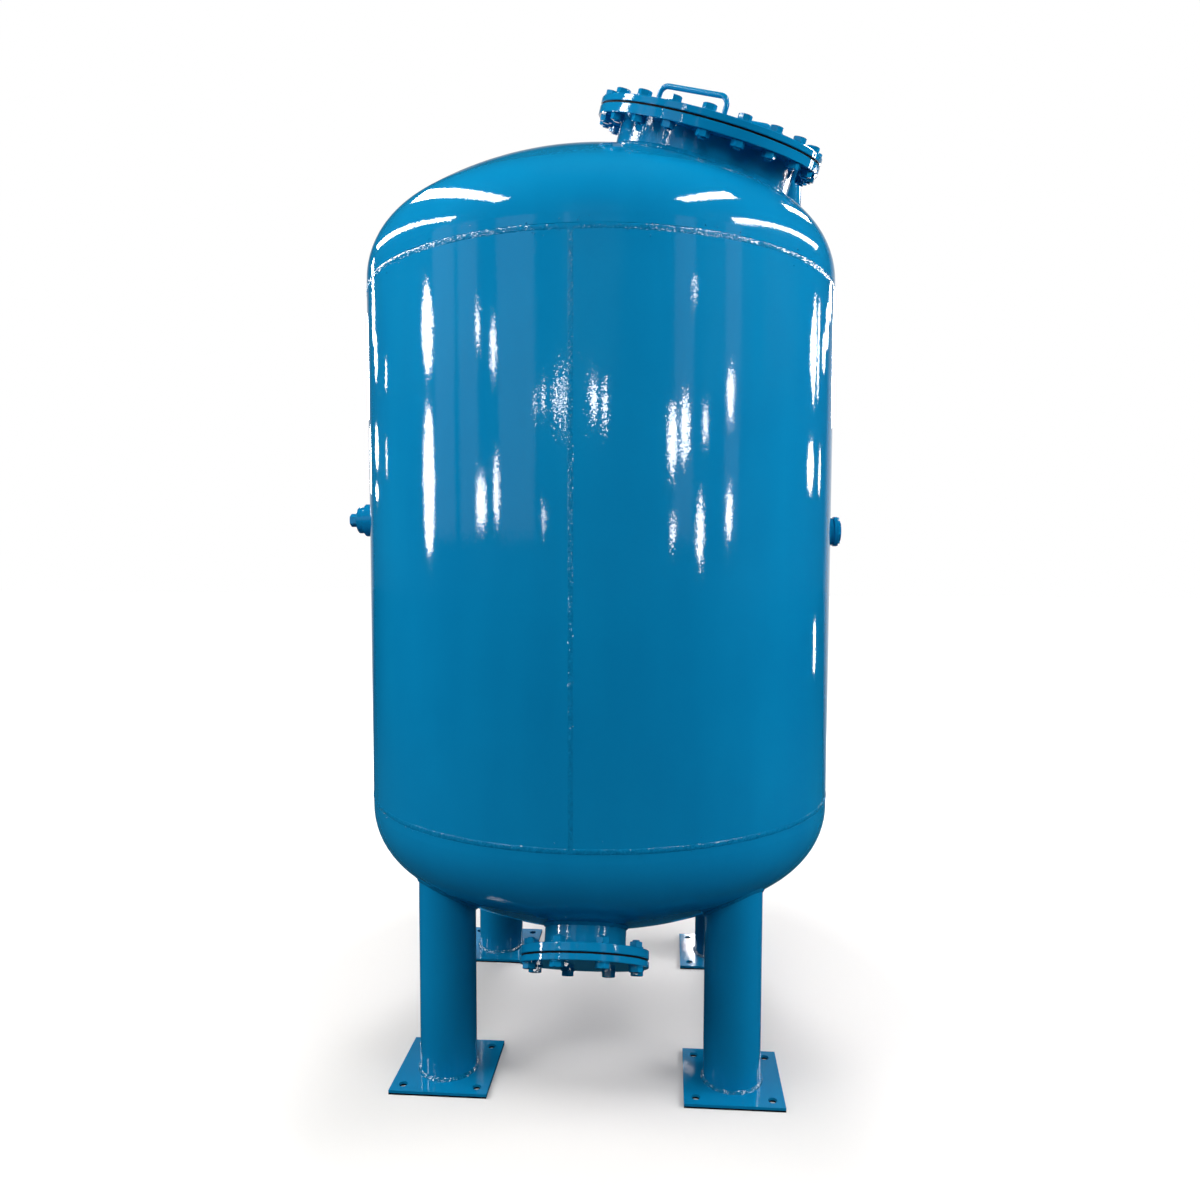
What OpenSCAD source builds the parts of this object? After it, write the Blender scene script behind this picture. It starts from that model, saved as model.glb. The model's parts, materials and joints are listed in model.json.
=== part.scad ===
// Vertical steel pressure vessel for a water filter: a welded cylinder between
// two dished heads, on four pipe legs, with a bolted manway and a short post on the
// top head, a bolted nozzle in the bottom head and a plugged port on each side.
// Millimetres, +Z up. The origin is on the floor, on the vessel's axis.

/* [Shell] */
// Inside diameter of the cylindrical shell
shell_bore = 1400; // [1300:20:1800]
// Thickness of the shell and of both heads
wall = 10; // [6:1:14]
// Length of the shell between the two girth seams
shell_length = 1500; // [1200:50:2200]
// Direction of the shell's lengthwise seam, seen from above
seam_angle = -91.5; // [-105:0.5:-75]

/* [Heads] */
// Depth of the dished part of a head, outside
head_depth = 375; // [325:5:450]
// Outside radius of the knuckle, where the head turns into its skirt
knuckle_r = 212; // [160:4:272]
// Length of the straight skirt below the dish
head_skirt = 30; // [25:5:60]

/* [Butt welds] */
// Gap between the plates at the root of a butt weld
weld_root = 3; // [2:0.5:5]
// Slope of each plate edge in the welded groove
bevel_angle = 25; // [20:1:35]
// How far the weld cap laps onto the plate on each side
cap_lap = 1; // [0.5:0.25:2]
// Height of the weld cap above the plate
cap_height = 2; // [1:0.25:3]

/* [Legs] */
// Clear height from the floor to the lowest point of the bottom head
ground_clearance = 342; // [280:2:500]
// Distance from the shell's outside to the axis of a leg
leg_inset = 140; // [125:1:200]
// Outside diameter of the leg pipe
leg_d = 159; // [114:1:190]
// Wall of the leg pipe
leg_wall = 6; // [4:0.5:10]
// Width of base plate that stands out past the pipe
plate_margin = 56; // [45:1:80]
// Thickness of the base plate
plate_t = 12; // [8:1:20]
// Distance from the base plate's edge to the centre of an anchor hole
anchor_edge = 32.5; // [24:0.5:36]
// Diameter of an anchor hole
anchor_d = 24; // [14:1:28]
// Leg length of the fillet welds
fillet = 8; // [5:1:12]

/* [Manway] */
// Distance of the manway's centre to the right of the vessel's axis
manway_x = 306; // [200:2:320]
// Distance of the manway's centre in front of the vessel's axis
manway_front = 232; // [120:2:240]
// Lean of the manway to the right
manway_lean_right = 16.5; // [8:0.5:20]
// Lean of the manway to the front
manway_lean_front = 16.5; // [8:0.5:20]
// Inside diameter of the manway neck
manway_bore = 488; // [400:4:600]
// Wall of the manway neck
manway_wall = 8; // [5:1:12]
// Height of the flange face above the head, along the manway's axis
manway_reach = 64.5; // [55:0.5:120]
// Thickness of the manway flange
manway_flange_t = 23; // [18:1:32]
// Thickness of the manway cover
manway_cover_t = 16; // [12:1:30]
// Number of manway bolts
manway_bolts = 20; // [12:4:28]
// Turn of the manway's bolt circle
manway_bolt_turn = 0.5; // [0:0.5:9]
// Distance from the neck's outside to the bolt circle
manway_bolt_reach = 43; // [30:1:60]

/* [Cover handles] */
// Diameter of the handle rod
handle_rod = 14; // [10:1:20]
// Distance between the two upright rods of a handle
handle_span = 208; // [120:2:240]
// Height of a handle above the cover
handle_height = 68; // [45:1:90]
// Radius of the bend, at the centre of the rod
handle_bend = 22; // [15:1:30]
// Distance of each handle from the cover's centre
handle_offset = 145; // [80:5:180]
// Turn of the pair of handles about the cover's centre
handle_turn = -25; // [-45:1:45]

/* [Post] */
// Distance of the post's axis to the right of the vessel's axis
post_x = 581; // [500:1:600]
// Distance of the post's axis behind the vessel's axis
post_rear = 50; // [40:5:160]
// Outside diameter of the post's pipe
post_d = 76; // [42:1:90]
// Wall of the post's pipe
post_wall = 5; // [3:0.5:8]
// Height of the post's top above the top of the vessel
post_rise = 48; // [20:2:80]
// Thickness of the disc that closes the post
post_cap_t = 6; // [4:1:10]

/* [Bottom nozzle] */
// Distance of the nozzle's centre in front of the vessel's axis
nozzle_front = 497; // [300:1:515]
// Lean of the nozzle to the front
nozzle_lean = 30; // [5:1:35]
// Outside diameter of the nozzle's pipe
nozzle_pipe_d = 219; // [114:1:230]
// Wall of the nozzle's pipe
nozzle_wall = 8; // [5:1:12]
// Distance of the flange face from the head, along the nozzle's axis
nozzle_reach = 75; // [60:1:120]
// Thickness of the nozzle flange
nozzle_flange_t = 22; // [16:1:28]
// Thickness of the nozzle's blind cover
nozzle_cover_t = 16; // [12:1:28]
// Number of nozzle bolts
nozzle_bolts = 8; // [4:4:12]
// Distance from the pipe's outside to the bolt circle
nozzle_bolt_reach = 40.5; // [28:0.5:50]

/* [Flanges] */
// Diameter of a flange bolt hole
bolt_hole_d = 22; // [14:1:24]
// Distance from a bolt circle to the flange's rim
rim_margin = 22; // [18:0.5:30]
// Thickness of a gasket
gasket_t = 5; // [2:0.5:8]
// How far a gasket's edge lies behind the flange's rim
gasket_setback = 5; // [1:0.5:8]
// Chamfer on the rims of flanges, covers and caps
rim_chamfer = 1.5; // [0.5:0.25:3]
// How far a neck ends behind the face of its flange
neck_setback = 5; // [2:1:8]
// Clearance of a bored seat around the neck that passes through it
seat_gap = 0.5; // [0.1:0.1:1]

/* [Side ports] */
// Bore of both side ports
port_bore = 50; // [30:1:60]
// Height of the left port above the lower girth seam
left_port_rise = 838; // [300:1:900]
// Outside diameter of the left port's boss
left_boss_d = 104; // [80:1:140]
// Height of the left boss above the shell's side
left_boss_t = 50; // [35:1:80]
// Diameter of the left port's cap
left_cap_d = 84; // [70:1:100]
// Thickness of the left port's cap
left_cap_t = 23; // [12:1:30]
// Width across the flats of the left port's hexagon plug
left_plug_flats = 37; // [27:1:50]
// Height of the left plug's head
left_plug_t = 28; // [15:1:40]
// Height of the right port above the lower girth seam
right_port_rise = 803; // [300:1:900]
// Outside diameter of the right port's boss
right_boss_d = 84; // [70:1:120]
// Height of the right boss above the shell's side
right_boss_t = 16; // [12:1:50]
// Diameter of the right port's cap
right_cap_d = 92; // [80:1:120]
// Thickness of the right port's cap
right_cap_t = 14; // [10:1:25]
// Diameter of the right port's round plug
right_plug_d = 70; // [50:1:80]
// Height of the right plug's head
right_plug_t = 8; // [5:1:15]
// Diameter of the threaded shank of both plugs
plug_shank_d = 24; // [16:1:32]
// Radial clearance of a cap's spigot in the port
spigot_gap = 0.5; // [0.2:0.1:2]
// Length of a cap's spigot
spigot_t = 12; // [6:1:20]

/* [Hidden] */
$fn = 128;

// Derived sizes of the vessel
shell_r = shell_bore / 2 + wall;
head_crown_r = ((shell_r - knuckle_r) ^ 2 + head_depth ^ 2 - knuckle_r ^ 2) / (2 * (head_depth - knuckle_r));
lower_tangent_z = ground_clearance + head_depth;
lower_seam_z = lower_tangent_z + head_skirt;
upper_seam_z = lower_seam_z + shell_length;
upper_tangent_z = upper_seam_z + head_skirt;
top_z = upper_tangent_z + head_depth;

// Derived sizes of the butt welds
groove_half = weld_root / 2 + wall * tan(bevel_angle);
cap_half = groove_half + cap_lap;
cap_arc_r = (cap_half ^ 2 + cap_height ^ 2) / (2 * cap_height);

// Derived sizes of the legs
leg_r = leg_d / 2;
leg_xy = (shell_r - leg_inset) * cos(45);
plate_w = leg_d + 2 * plate_margin;
anchor_xy = plate_w / 2 - anchor_edge;

// Derived sizes of the flanged openings
manway_neck_r = manway_bore / 2 + manway_wall;
manway_circle_r = manway_neck_r + manway_bolt_reach;
manway_rim_r = manway_circle_r + rim_margin;
manway_seat_z = top_z - head_crown_r + sqrt(head_crown_r ^ 2 - manway_x ^ 2 - manway_front ^ 2);
nozzle_neck_r = nozzle_pipe_d / 2;
nozzle_circle_r = nozzle_neck_r + nozzle_bolt_reach;
nozzle_rim_r = nozzle_circle_r + rim_margin;
nozzle_seat_z = ground_clearance + head_crown_r - sqrt(head_crown_r ^ 2 - nozzle_front ^ 2);

// Height of the end of the post's pipe, under its cap
post_pipe_z = top_z + post_rise - post_cap_t;

// The nozzle's first bolt holes lie half a step to each side of its front
nozzle_bolt_turn = 90 - 180 / nozzle_bolts;

// Depth of cutting tools past the surface that they cut
over = 1;

// The four legs: name, side (left -1) and end (front -1)
CORNERS = [
    ["front_left", -1, -1],
    ["front_right", 1, -1],
    ["rear_left", -1, 1],
    ["rear_right", 1, 1],
];

PAINT = [0.03, 0.44, 0.68];
BEAD_PAINT = [0.05, 0.48, 0.72];
GASKET = [0.04, 0.04, 0.05];

// ---- Forms shared by several pieces ----

// Half section of a dished head, filled to its axis: a crown arc and a knuckle arc
// that meet in a common tangent, above a straight skirt. The skirt's top is at y = 0.
// grow moves the whole surface outwards, or inwards where it is negative.
module dish_section(grow = 0, skirt = head_skirt) {
    r = shell_r + grow;
    knuckle = knuckle_r + grow;
    depth = head_depth + grow;
    crown = head_crown_r + grow;
    join_r = (r - knuckle) * crown / (crown - knuckle);
    intersection() {
        translate([0, depth - crown])
            circle(crown);
        translate([0, -skirt])
            square([join_r, skirt + depth + over]);
    }
    intersection() {
        translate([r - knuckle, 0])
            circle(knuckle);
        translate([join_r, 0])
            square([knuckle, knuckle + over]);
    }
    translate([join_r, -skirt])
        square([r - join_r, skirt]);
}

// The solid form of a head, down to the end of its skirt or further: its outside surface,
// or its inside surface where grow is -wall
module top_form(grow = 0, skirt = head_skirt) {
    translate([0, 0, upper_tangent_z])
        rotate_extrude()
            dish_section(grow, skirt);
}

module bottom_form(grow = 0, skirt = head_skirt) {
    translate([0, 0, lower_tangent_z])
        mirror([0, 0, 1])
            rotate_extrude()
                dish_section(grow, skirt);
}

// Section of a welded groove through the wall: x is the radius, y runs across the seam.
// past is how far it reaches beyond both faces of the wall.
module groove_section(past = over) {
    mouth_half = groove_half + past * tan(bevel_angle);
    polygon([
        [shell_r - wall - past, -weld_root / 2],
        [shell_r - wall, -weld_root / 2],
        [shell_r + past, -mouth_half],
        [shell_r + past, mouth_half],
        [shell_r - wall, weld_root / 2],
        [shell_r - wall - past, weld_root / 2],
    ]);
}

// Section of the round cap that a butt weld leaves above the plate
module cap_circle() {
    translate([shell_r + cap_height - cap_arc_r, 0])
        circle(cap_arc_r, $fn = 96);
}

// A disc or a ring with chamfered rims, standing on z = 0
module chamfered_ring(outer_r, inner_r, t) {
    c = rim_chamfer;
    rotate_extrude()
        polygon([
            [inner_r, 0], [outer_r - c, 0], [outer_r, c],
            [outer_r, t - c], [outer_r - c, t], [inner_r, t],
        ]);
}

// Cylinders that cut a circle of bolt holes
module bolt_circle(circle_r, count, turn, t) {
    for (i = [0 : count - 1])
        rotate([0, 0, turn + i * 360 / count])
            translate([circle_r, 0, -over])
                cylinder(d = bolt_hole_d, h = t + 2 * over, $fn = 48);
}

// A flange, gasket or cover: a ring, or a disc where inner_r is 0, with its bolt holes
module drilled_ring(outer_r, inner_r, t, circle_r, count, turn) {
    difference() {
        chamfered_ring(outer_r, inner_r, t);
        bolt_circle(circle_r, count, turn, t);
    }
}

// Local frame of the manway: its origin is where its axis leaves the head, +Z points out
module at_manway(height = 0) {
    translate([manway_x, -manway_front, manway_seat_z])
        rotate([manway_lean_front, manway_lean_right, 0])
            translate([0, 0, height])
                children();
}

// Local frame of the bottom nozzle, made the same way
module at_nozzle(height = 0) {
    translate([0, -nozzle_front, nozzle_seat_z])
        rotate([180 - nozzle_lean, 0, 0])
            translate([0, 0, height])
                children();
}

// Local frame of a side port: its origin is on the shell's side, +Z points out
module at_left_port(height = 0) {
    translate([-shell_r - height, 0, lower_seam_z + left_port_rise])
        rotate([0, -90, 0])
            children();
}

module at_right_port(height = 0) {
    translate([shell_r + height, 0, lower_seam_z + right_port_rise])
        rotate([0, 90, 0])
            children();
}

// A straight pipe between two heights
module pipe(outer_r, thickness, low, high) {
    translate([0, 0, low])
        difference() {
            cylinder(r = outer_r, h = high - low);
            translate([0, 0, -over])
                cylinder(r = outer_r - thickness, h = high - low + 2 * over);
        }
}

// ---- Vessel ----

module shell() {
    color(PAINT)
        difference() {
            translate([0, 0, lower_seam_z])
                rotate_extrude()
                    difference() {
                        translate([shell_r - wall, 0])
                            square([wall, shell_length]);
                        groove_section();
                        translate([0, shell_length])
                            groove_section();
                    }
            translate([0, 0, lower_seam_z - over])
                rotate([0, 0, seam_angle])
                    linear_extrude(shell_length + 2 * over)
                        groove_section();
            at_left_port(-2 * wall)
                cylinder(d = port_bore, h = 3 * wall);
            at_right_port(-2 * wall)
                cylinder(d = port_bore, h = 3 * wall);
        }
}

// A head's wall, with the edge of its skirt bevelled for the girth weld
module head_wall() {
    rotate_extrude()
        difference() {
            dish_section();
            dish_section(-wall, head_skirt + over);
            translate([0, -head_skirt])
                groove_section();
        }
}

// The cutter of a round hole that a neck passes through, turned so that its
// own seam faces the front
module neck_hole(neck_r, depth) {
    rotate([0, 0, 90])
        cylinder(r = neck_r + seat_gap, h = depth);
}

module top_head() {
    color(PAINT)
        difference() {
            translate([0, 0, upper_tangent_z])
                head_wall();
            at_manway(-manway_bore)
                neck_hole(manway_neck_r, 2 * manway_bore);
        }
}

module bottom_head() {
    color(PAINT)
        difference() {
            translate([0, 0, lower_tangent_z])
                mirror([0, 0, 1])
                    head_wall();
            at_nozzle(-nozzle_pipe_d)
                neck_hole(nozzle_neck_r, 2 * nozzle_pipe_d);
        }
}

// A weld right round the vessel: it fills the groove and stands out in a round cap
module girth_weld(z) {
    translate([0, 0, z])
        rotate_extrude() {
            intersection() {
                groove_section();
                translate([shell_r - wall, -cap_half])
                    square([wall, 2 * cap_half]);
            }
            difference() {
                cap_circle();
                translate([0, -shell_r])
                    square([shell_r, 2 * shell_r]);
            }
        }
}

module upper_girth_weld() {
    color(BEAD_PAINT)
        girth_weld(upper_seam_z);
}

module lower_girth_weld() {
    color(BEAD_PAINT)
        girth_weld(lower_seam_z);
}

// The lengthwise weld, which stops against both girth welds
module shell_seam_weld() {
    color(BEAD_PAINT)
        difference() {
            translate([0, 0, lower_seam_z])
                rotate([0, 0, seam_angle])
                    linear_extrude(shell_length) {
                        intersection() {
                            groove_section();
                            difference() {
                                circle(shell_r);
                                circle(shell_r - wall);
                            }
                        }
                        difference() {
                            cap_circle();
                            circle(shell_r);
                        }
                    }
            for (z = [lower_seam_z, upper_seam_z])
                translate([0, 0, z])
                    rotate_extrude()
                        groove_section(cap_height + over);
        }
}

// ---- Manway ----

// The neck is set into the head, and its inner end is cut to the head's inside surface
module manway_neck() {
    color(PAINT)
        difference() {
            at_manway()
                pipe(manway_neck_r, manway_wall, -manway_bore, manway_reach - neck_setback);
            top_form(-wall, shell_length);
        }
}

// A bead between a pipe and a head: the part of a collar round the pipe that lies
// within a fillet's height of the head's surface
module manway_neck_weld() {
    color(BEAD_PAINT)
        difference() {
            intersection() {
                at_manway()
                    pipe(manway_neck_r + fillet, fillet, -manway_bore / 2, manway_reach - manway_flange_t);
                top_form(fillet);
            }
            top_form();
        }
}

module manway_flange() {
    color(PAINT)
        at_manway(manway_reach - manway_flange_t)
            drilled_ring(
                manway_rim_r, manway_neck_r + seat_gap, manway_flange_t,
                manway_circle_r, manway_bolts, manway_bolt_turn
            );
}

module manway_gasket() {
    color(GASKET)
        at_manway(manway_reach)
            difference() {
                cylinder(r = manway_rim_r - gasket_setback, h = gasket_t);
                translate([0, 0, -over])
                    cylinder(r = manway_neck_r, h = gasket_t + 2 * over);
                bolt_circle(manway_circle_r, manway_bolts, manway_bolt_turn, gasket_t);
            }
}

module manway_cover() {
    color(PAINT)
        at_manway(manway_reach + gasket_t)
            drilled_ring(manway_rim_r, 0, manway_cover_t, manway_circle_r, manway_bolts, manway_bolt_turn);
}

// A bent rod handle: two uprights, two quarter bends and a crossbar
module rod_handle() {
    rod_r = handle_rod / 2;
    bar_z = handle_height - rod_r;
    bend_z = bar_z - handle_bend;
    bar_half = handle_span / 2 - handle_bend;
    for (side = [0, 180])
        rotate([0, 0, side]) {
            translate([handle_span / 2, 0, 0])
                cylinder(r = rod_r, h = bend_z, $fn = 48);
            translate([bar_half, 0, bend_z])
                rotate([90, 0, 0])
                    rotate_extrude(angle = 90)
                        translate([handle_bend, 0])
                            circle(rod_r, $fn = 48);
        }
    translate([-bar_half, 0, bar_z])
        rotate([0, 90, 0])
            cylinder(r = rod_r, h = 2 * bar_half, $fn = 48);
}

// Local frame of one of the pair of handles on the cover
module at_handle(side) {
    at_manway(manway_reach + gasket_t + manway_cover_t)
        rotate([0, 0, handle_turn])
            translate([0, side * handle_offset, 0])
                children();
}

module front_cover_handle() {
    color(PAINT)
        at_handle(-1)
            rod_handle();
}

module rear_cover_handle() {
    color(PAINT)
        at_handle(1)
            rod_handle();
}

// ---- Post ----

// A closed pipe that stands upright on the top head, beside the manway
module at_post() {
    translate([post_x, post_rear, 0])
        children();
}

module post() {
    color(PAINT)
        difference() {
            at_post()
                pipe(post_d / 2, post_wall, upper_tangent_z, post_pipe_z);
            top_form();
        }
}

module post_cap() {
    color(PAINT)
        at_post()
            translate([0, 0, post_pipe_z])
                chamfered_ring(post_d / 2, 0, post_cap_t);
}

module post_weld() {
    color(BEAD_PAINT)
        difference() {
            intersection() {
                at_post()
                    pipe(post_d / 2 + fillet, fillet, upper_tangent_z, top_z);
                top_form(fillet);
            }
            top_form();
        }
}

// ---- Bottom nozzle ----

module nozzle_neck() {
    color(PAINT)
        difference() {
            at_nozzle()
                pipe(nozzle_neck_r, nozzle_wall, -nozzle_pipe_d, nozzle_reach - neck_setback);
            bottom_form(-wall, shell_length);
        }
}

module nozzle_neck_weld() {
    color(BEAD_PAINT)
        difference() {
            intersection() {
                at_nozzle()
                    pipe(nozzle_neck_r + fillet, fillet, -nozzle_pipe_d / 2, nozzle_reach - nozzle_flange_t);
                bottom_form(fillet);
            }
            bottom_form();
        }
}

module nozzle_flange() {
    color(PAINT)
        at_nozzle(nozzle_reach - nozzle_flange_t)
            drilled_ring(
                nozzle_rim_r, nozzle_neck_r + seat_gap, nozzle_flange_t,
                nozzle_circle_r, nozzle_bolts, nozzle_bolt_turn
            );
}

module nozzle_gasket() {
    color(GASKET)
        at_nozzle(nozzle_reach)
            difference() {
                cylinder(r = nozzle_rim_r - gasket_setback, h = gasket_t);
                translate([0, 0, -over])
                    cylinder(r = nozzle_neck_r, h = gasket_t + 2 * over);
                bolt_circle(nozzle_circle_r, nozzle_bolts, nozzle_bolt_turn, gasket_t);
            }
}

module nozzle_cover() {
    color(PAINT)
        at_nozzle(nozzle_reach + gasket_t)
            drilled_ring(nozzle_rim_r, 0, nozzle_cover_t, nozzle_circle_r, nozzle_bolts, nozzle_bolt_turn);
}

// ---- Side ports ----

// A thick bored boss whose foot is cut to the shell's round side
module port_boss(d, t) {
    root = d / 4;
    translate([0, 0, -root])
        chamfered_ring(d / 2, port_bore / 2, root + t);
}

// The shell's outside, finely divided because a boss covers so little of it
module shell_form() {
    cylinder(r = shell_r, h = upper_seam_z, $fn = 256);
}

module left_port_boss() {
    color(PAINT)
        difference() {
            at_left_port()
                port_boss(left_boss_d, left_boss_t);
            shell_form();
        }
}

module right_port_boss() {
    color(PAINT)
        difference() {
            at_right_port()
                port_boss(right_boss_d, right_boss_t);
            shell_form();
        }
}

// A cap with a tapped hole, and a spigot that centres it in the boss
module port_cap(d, t) {
    chamfered_ring(d / 2, plug_shank_d / 2, t);
    translate([0, 0, -spigot_t])
        difference() {
            cylinder(r = port_bore / 2 - spigot_gap, h = spigot_t);
            translate([0, 0, -over])
                cylinder(d = plug_shank_d, h = spigot_t + 2 * over);
        }
}

module left_port_cap() {
    color(PAINT)
        at_left_port(left_boss_t)
            port_cap(left_cap_d, left_cap_t);
}

module right_port_cap() {
    color(PAINT)
        at_right_port(right_boss_t)
            port_cap(right_cap_d, right_cap_t);
}

// The threaded end of a plug, which fills the tapped hole of its cap
module plug_shank(t) {
    translate([0, 0, -t - spigot_t])
        cylinder(d = plug_shank_d, h = t + spigot_t);
}

module left_port_plug() {
    corner_r = left_plug_flats / 2 / cos(30);
    color(PAINT)
        at_left_port(left_boss_t + left_cap_t) {
            intersection() {
                cylinder(r = corner_r, h = left_plug_t, $fn = 6);
                chamfered_ring(corner_r, 0, left_plug_t);
            }
            plug_shank(left_cap_t);
        }
}

module right_port_plug() {
    color(PAINT)
        at_right_port(right_boss_t + right_cap_t) {
            chamfered_ring(right_plug_d / 2, 0, right_plug_t);
            plug_shank(right_cap_t);
        }
}

// ---- Legs ----

module at_leg(side, end) {
    translate([side * leg_xy, end * leg_xy, 0])
        children();
}

// The pipe stands on its base plate, and its top is cut to the head's outside surface
module leg(side, end) {
    color(PAINT)
        difference() {
            at_leg(side, end)
                pipe(leg_r, leg_wall, plate_t, lower_tangent_z);
            bottom_form();
        }
}

module base_plate(side, end) {
    color(PAINT)
        at_leg(side, end)
            linear_extrude(plate_t)
                difference() {
                    square(plate_w, center = true);
                    for (x = [-anchor_xy, anchor_xy], y = [-anchor_xy, anchor_xy])
                        translate([x, y])
                            circle(d = anchor_d, $fn = 48);
                }
}

module foot_weld(side, end) {
    color(BEAD_PAINT)
        at_leg(side, end)
            translate([0, 0, plate_t])
                rotate_extrude()
                    polygon([[leg_r, 0], [leg_r + fillet, 0], [leg_r, fillet]]);
}

module head_weld(side, end) {
    color(BEAD_PAINT)
        difference() {
            intersection() {
                at_leg(side, end)
                    pipe(leg_r + fillet, fillet, ground_clearance, lower_tangent_z);
                bottom_form(fillet);
            }
            bottom_form();
        }
}

// ---- The vessel's nodes ----

shell();
top_head();
bottom_head();
upper_girth_weld();
lower_girth_weld();
shell_seam_weld();
manway_neck();
manway_neck_weld();
manway_flange();
manway_gasket();
manway_cover();
front_cover_handle();
rear_cover_handle();
post();
post_cap();
post_weld();
nozzle_neck();
nozzle_neck_weld();
nozzle_flange();
nozzle_gasket();
nozzle_cover();
left_port_boss();
left_port_cap();
left_port_plug();
right_port_boss();
right_port_cap();
right_port_plug();
for (corner = CORNERS) {
    leg(corner[1], corner[2]);
    base_plate(corner[1], corner[2]);
    foot_weld(corner[1], corner[2]);
    head_weld(corner[1], corner[2]);
}
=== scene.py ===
"""Water filter tank: gloss blue paint, weld beads, bolts and studio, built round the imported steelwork."""

import json
import math
import random

import bmesh
import bpy
from mathutils import Matrix, Vector, noise
from mathutils.bvhtree import BVHTree


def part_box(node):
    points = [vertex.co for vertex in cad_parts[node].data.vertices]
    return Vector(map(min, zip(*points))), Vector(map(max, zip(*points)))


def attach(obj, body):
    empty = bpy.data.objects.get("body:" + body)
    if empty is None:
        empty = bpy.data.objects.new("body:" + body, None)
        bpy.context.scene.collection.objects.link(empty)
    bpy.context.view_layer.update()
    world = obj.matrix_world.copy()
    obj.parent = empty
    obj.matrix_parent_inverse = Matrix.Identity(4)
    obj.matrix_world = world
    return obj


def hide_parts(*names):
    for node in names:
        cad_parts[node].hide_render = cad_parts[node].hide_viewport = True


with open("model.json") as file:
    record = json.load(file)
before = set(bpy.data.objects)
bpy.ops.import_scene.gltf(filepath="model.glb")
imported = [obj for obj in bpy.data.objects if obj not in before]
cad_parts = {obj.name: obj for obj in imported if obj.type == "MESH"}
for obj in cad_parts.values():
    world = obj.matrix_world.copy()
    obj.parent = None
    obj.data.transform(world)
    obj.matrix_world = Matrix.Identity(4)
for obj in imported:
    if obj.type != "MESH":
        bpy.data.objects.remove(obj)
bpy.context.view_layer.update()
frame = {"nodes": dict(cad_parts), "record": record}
nodes = frame["nodes"]
mounts = {mount["name"]: mount for mount in frame["record"]["mounts"]}
dice = random.Random(7)

MM = 0.001
MERGE_REACH = 0.002 * MM
UP = Vector((0, 0, 1))
CORNERS = ("front_left", "front_right", "rear_left", "rear_right")


# ---- Shader recipes ----


class Signal:
    """One output inside a material. Arithmetic on it adds Math nodes."""

    def __init__(self, recipe, socket):
        self.recipe = recipe
        self.socket = socket

    def _math(self, operation, *values):
        return self.recipe.node("Math", {"operation": operation}, dict(enumerate(values)))

    def __add__(self, other):
        return self._math("ADD", self, other)

    __radd__ = __add__

    def __sub__(self, other):
        return self._math("SUBTRACT", self, other)

    def __rsub__(self, other):
        return self._math("SUBTRACT", other, self)

    def __mul__(self, other):
        return self._math("MULTIPLY", self, other)

    __rmul__ = __mul__

    def __truediv__(self, other):
        return self._math("DIVIDE", self, other)

    def __rtruediv__(self, other):
        return self._math("DIVIDE", other, self)

    def __gt__(self, other):
        return self._math("GREATER_THAN", self, other)

    def __abs__(self):
        return self._math("ABSOLUTE", self)


class Recipe:
    """The node tree of one material or of the world."""

    def __init__(self, owner):
        owner.use_nodes = True
        self.owner = owner
        self.tree = owner.node_tree
        self.tree.nodes.clear()

    def node(self, kind, settings=None, sockets=None, output=0):
        """Adds a node, its settings first and then the values or links of its sockets. Returns one output."""
        made = self.tree.nodes.new("ShaderNode" + kind)
        for key, value in (settings or {}).items():
            if key == "stops":
                self._stops(made.color_ramp, value)
            else:
                setattr(made, key, value)
        for key, value in (sockets or {}).items():
            if isinstance(value, Signal):
                self.tree.links.new(value.socket, made.inputs[key])
            else:
                made.inputs[key].default_value = value
        return Signal(self, made.outputs[output]) if made.outputs else None

    def _stops(self, ramp, stops):
        while len(ramp.elements) < len(stops):
            ramp.elements.new(1)
        for element, (position, level) in zip(ramp.elements, stops):
            element.position = position
            element.color = (level, level, level, 1)

    def ramp(self, value, *stops):
        """A level read off at value, where each stop is a position and its level."""
        return self.node("ValToRGB", {"stops": stops}, {"Fac": value})

    def mix(self, share, first, second):
        """A colour between first and second."""
        return self.node("Mix", {"data_type": "RGBA"}, {0: share, 6: first, 7: second}, 2)

    def grain(self, place, per_metre, detail, roughness):
        """Noise from 0 to 1, with that many features to the metre, or a number of them for each axis."""
        if isinstance(per_metre, tuple):
            place = self.node("Mapping", {}, {"Vector": place, "Scale": per_metre})
            per_metre = 1.0
        sockets = {"Vector": place, "Scale": per_metre, "Detail": detail, "Roughness": roughness}
        return self.node("TexNoise", {}, sockets, "Fac")

    def place(self):
        return self.node("TexCoord", output="Object")

    def part(self, vector, axis):
        """The X, Y or Z of a place or direction."""
        return self.node("SeparateXYZ", {}, {0: vector}, axis)

    def tilted(self, facing, pattern, amount):
        """A surface direction turned a little by a coloured pattern, different ways in different places."""
        sway = self.node("VectorMath", {"operation": "SUBTRACT"}, {0: pattern, 1: (0.5, 0.5, 0.5)})
        sway = self.node("VectorMath", {"operation": "SCALE"}, {0: sway, "Scale": amount})
        turned = self.node("VectorMath", {"operation": "ADD"}, {0: facing, 1: sway})
        return self.node("VectorMath", {"operation": "NORMALIZE"}, {0: turned})

    def bumped(self, relief, facing=None):
        """A surface direction with a relief in metres on it, laid over facing where that is given."""
        sockets = {"Strength": 1.0, "Distance": 1.0, "Height": relief}
        if facing:
            sockets["Normal"] = facing
        return self.node("Bump", {}, sockets)


# ---- Gloss enamel ----

ENAMEL = (0.002, 0.200, 0.420, 1)
ENAMEL_DEEP = (0.0014, 0.176, 0.382, 1)
ENAMEL_THIN = (0.002, 0.220, 0.435, 1)
BLACK = (0, 0, 0, 1)
# Near black for the painted contact shadow along the base plates' lower edge
CONTACT_SHADE = (0.006, 0.009, 0.012, 1)
ENAMEL_IOR = 1.5

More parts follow.
